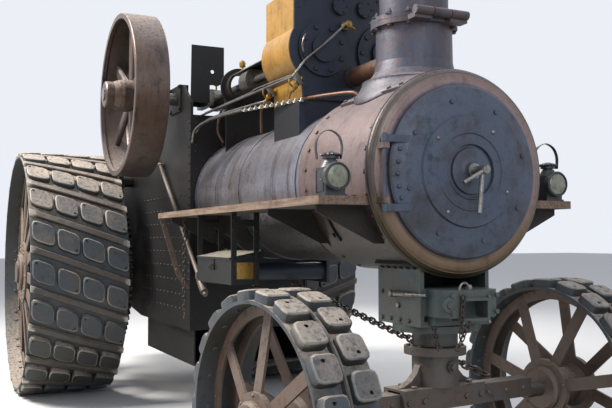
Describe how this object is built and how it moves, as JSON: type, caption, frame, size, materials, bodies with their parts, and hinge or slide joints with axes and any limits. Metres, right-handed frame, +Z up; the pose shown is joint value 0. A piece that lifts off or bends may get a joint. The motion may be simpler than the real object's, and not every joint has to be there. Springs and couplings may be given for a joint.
{
  "type": "steam traction engine",
  "caption": "Steam traction engine with a double cylinder over a round boiler, spoked block-tread wheels, a flywheel, a folding chimney and a chain-steered front axle.",
  "frame": {"origin": "on the ground under the middle of the engine's box", "axes": "+X forward, +Y to the engine's left, +Z up"},
  "size_m": [6.9496, 2.868, 3.45],
  "materials": {
    "boiler_cladding": "weathered bare sheet steel with rust streaks",
    "black_iron": "worn black iron",
    "door_iron": "worn dark blue-grey cast iron",
    "smokebox_steel": "heat-browned riveted steel",
    "bright_steel": "oily machined steel",
    "chimney_rust": "rusted rolled plate",
    "ochre_cladding": "faded ochre paint",
    "cylinder_dark": "worn dark navy paint",
    "brass": "dull brass",
    "gear_iron": "greasy cast teeth",
    "flywheel_iron": "bronze-brown rusted casting",
    "axle_iron": "dark forged iron",
    "tread_iron": "worn tread iron with dust",
    "wheel_iron": "dry rusty wheel iron",
    "tender_paint": "worn dark green-grey paint",
    "chain_iron": "oiled chain iron",
    "board_wood": "dry weathered planks",
    "carriage_green": "grey-green paint over iron",
    "pipe_copper": "tarnished copper pipe"
  },
  "bodies": {
    "engine": {"boiler_barrel": "boiler_cladding", "firebox": "black_iron", "ash_pan": "black_iron", "smokebox": "smokebox_steel", "chimney_base": "chimney_rust", "cylinder_block": "ochre_cladding", "cylinder_covers": "cylinder_dark", "safety_valves": "brass", "motion_guides": "gear_iron", "motion_rods": "bright_steel", "crankshaft": "bright_steel", "crank_bearings": "black_iron", "motion_plate": "black_iron", "valve_gear": "bright_steel", "hornplates": "black_iron", "rear_axle": "axle_iron", "third_shaft": "gear_iron", "second_shaft": "gear_iron", "tender": "tender_paint", "footplate": "black_iron", "drawbar": "axle_iron", "steering_column": "axle_iron", "chain_barrel": "cylinder_dark", "steering_chains": "chain_iron", "running_boards": "board_wood", "lamps": "brass", "toolbox": "tender_paint", "perch_bracket": "carriage_green", "pipework": "pipe_copper"},
    "fire_door": {"fire_door": "door_iron"},
    "smokebox_door": {"smokebox_door": "door_iron", "door_darts": "bright_steel"},
    "chimney": {"chimney_stack": "chimney_rust"},
    "flywheel": {"flywheel": "flywheel_iron"},
    "rear_wheel_right": {"rear_rim_right": "tread_iron", "rear_spokes_right": "wheel_iron", "bull_gear_right": "gear_iron"},
    "rear_wheel_left": {"rear_rim_left": "tread_iron", "rear_spokes_left": "wheel_iron", "bull_gear_left": "gear_iron"},
    "pinion_right": {"pinion_right": "gear_iron"},
    "pinion_left": {"pinion_left": "gear_iron"},
    "front_axle": {"front_axle": "axle_iron"},
    "front_wheel_right": {"front_rim_right": "tread_iron", "front_spokes_right": "wheel_iron"},
    "front_wheel_left": {"front_rim_left": "tread_iron", "front_spokes_left": "wheel_iron"},
    "toolbox_lid": {"toolbox_lid": "tender_paint"}
  },
  "joints": [
    {"name": "fire_door_swing", "type": "hinge", "parent": "engine", "child": "fire_door", "pos_m": [-1.00455, -0.24, 1.3], "axis": [0, 0, 1], "range_deg": [0, 100]},
    {"name": "smokebox_door_swing", "type": "hinge", "parent": "engine", "child": "smokebox_door", "pos_m": [3.04345, -0.427, 1.653], "axis": [0, 0, -1], "range_deg": [0, 110]},
    {"name": "chimney_fold", "type": "hinge", "parent": "engine", "child": "chimney", "pos_m": [2.86345, 0, 2.427], "axis": [0, 1, 0], "range_deg": [0, 90]},
    {"name": "flywheel_turn", "type": "hinge", "parent": "engine", "child": "flywheel", "pos_m": [0.05245, -0.8045, 2.415], "axis": [0, 1, 0], "continuous": true},
    {"name": "rear_wheel_right_roll", "type": "hinge", "parent": "engine", "child": "rear_wheel_right", "pos_m": [-1.60655, -1.049, 1.067], "axis": [0, 1, 0], "continuous": true},
    {"name": "rear_wheel_left_roll", "type": "hinge", "parent": "engine", "child": "rear_wheel_left", "pos_m": [-1.60655, 1.049, 1.067], "axis": [0, 1, 0], "continuous": true},
    {"name": "pinion_right_turn", "type": "hinge", "parent": "engine", "child": "pinion_right", "pos_m": [-1.40655, -0.6, 1.87975], "axis": [0, 1, 0], "continuous": true},
    {"name": "pinion_left_turn", "type": "hinge", "parent": "engine", "child": "pinion_left", "pos_m": [-1.40655, 0.6, 1.87975], "axis": [0, 1, 0], "continuous": true},
    {"name": "front_axle_steer", "type": "hinge", "parent": "engine", "child": "front_axle", "pos_m": [2.78645, 0, 0.572], "axis": [0, 0, 1], "range_deg": [-37, 23]},
    {"name": "front_wheel_right_roll", "type": "hinge", "parent": "front_axle", "child": "front_wheel_right", "pos_m": [2.8915, -0.85557, 0.572], "axis": [-0.1219, 0.9925, 0], "continuous": true},
    {"name": "front_wheel_left_roll", "type": "hinge", "parent": "front_axle", "child": "front_wheel_left", "pos_m": [2.6814, 0.85557, 0.572], "axis": [-0.1219, 0.9925, 0], "continuous": true},
    {"name": "toolbox_lid_lift", "type": "hinge", "parent": "engine", "child": "toolbox_lid", "pos_m": [1.26345, -0.501, 1.278], "axis": [-1, 0, 0], "range_deg": [0, 80]}
  ],
  "couplings": [
    {"joint": "pinion_right_turn", "follows": "rear_wheel_right_roll", "ratio": -5},
    {"joint": "pinion_left_turn", "follows": "rear_wheel_left_roll", "ratio": -5}
  ]
}
